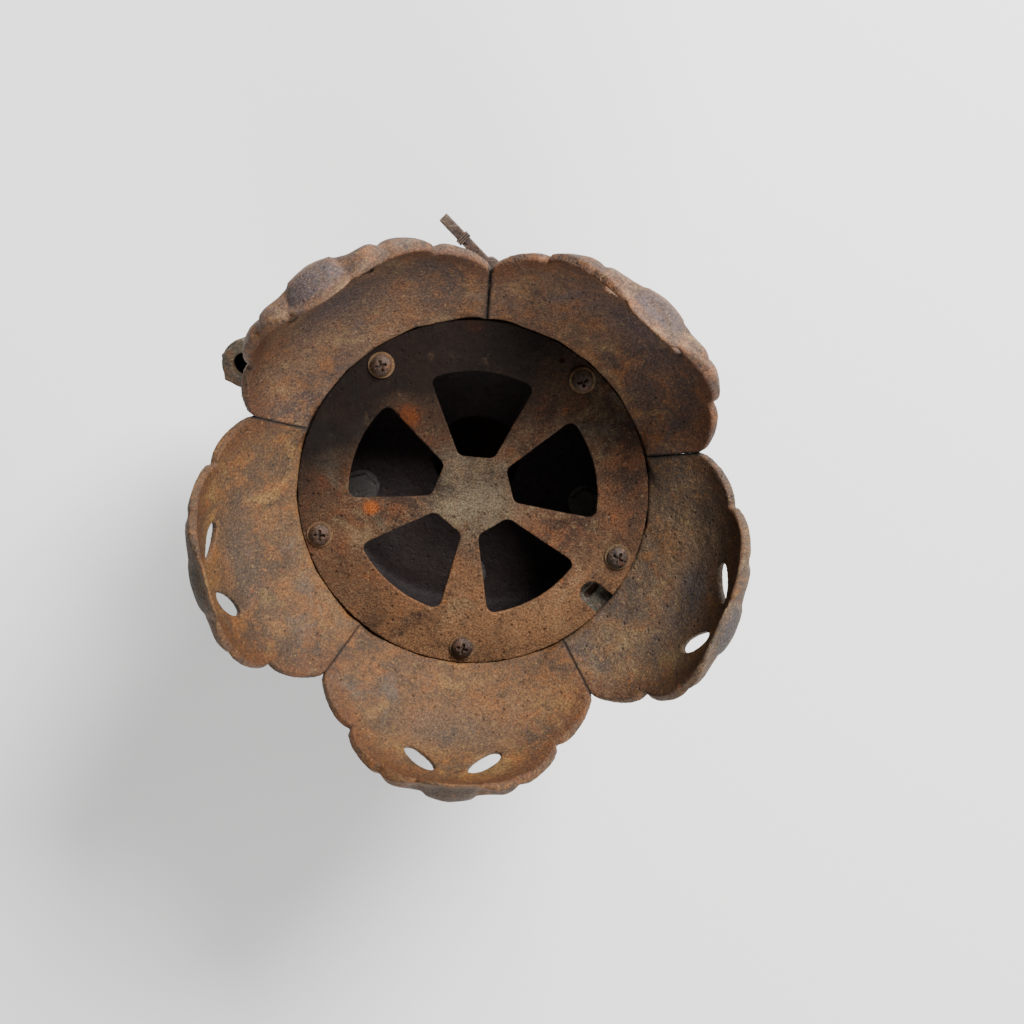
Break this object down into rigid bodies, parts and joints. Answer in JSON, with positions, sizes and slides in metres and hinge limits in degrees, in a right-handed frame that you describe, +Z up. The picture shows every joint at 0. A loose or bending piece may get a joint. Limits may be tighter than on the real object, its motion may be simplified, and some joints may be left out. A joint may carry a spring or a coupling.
{
  "type": "bulb planter",
  "caption": "Flower-form iron planter for bulbs: a ring of cast petals round a pierced plate, over a footed pot with a side filler.",
  "frame": {"origin": "on the planter's axis, at the foot's resting face", "axes": "+Z up along the axis, out of the flower; +Y towards the seam between the two petals beside the tie arm"},
  "size_m": [0.2415, 0.2465, 0.2503],
  "materials": {
    "petal_iron": "rusted, mottled orange brown",
    "plate_iron": "rusted, purple brown",
    "green_iron": "worn, green grey",
    "pot_iron": "rusted, pinkish brown",
    "gasket": "aged, dull",
    "screw_steel": "rusted, dark",
    "bolt_steel": "dull, dark",
    "fitting_iron": "weathered, green grey",
    "arm_iron": "rusted, dark brown",
    "wire": "rusted"
  },
  "bodies": {
    "planter": {"petal_1": "petal_iron", "petal_2": "petal_iron", "petal_3": "petal_iron", "petal_4": "petal_iron", "petal_5": "petal_iron", "drain_plate": "plate_iron", "seat_ring": "green_iron", "pot_body": "pot_iron", "column": "pot_iron", "foot": "pot_iron", "floor_gasket": "gasket", "filler_seal": "gasket", "plate_screws": "screw_steel", "plate_washers": "screw_steel", "floor_bolts": "bolt_steel", "floor_washers": "bolt_steel", "floor_nuts": "bolt_steel", "base_bolts": "bolt_steel", "base_washers": "bolt_steel", "filler_nipple": "fitting_iron", "filler_locknut": "fitting_iron", "filler_bushing": "fitting_iron", "filler_elbow": "fitting_iron", "tie_pin": "arm_iron"},
    "tie_arm": {"tie_arm": "arm_iron", "tie_wire": "wire"}
  },
  "joints": [
    {"name": "tie_arm_swing", "type": "hinge", "parent": "planter", "child": "tie_arm", "pos_m": [0.00804, 0.09988, 0.156], "axis": [0, 0, 1], "range_deg": [-110, 25]}
  ]
}
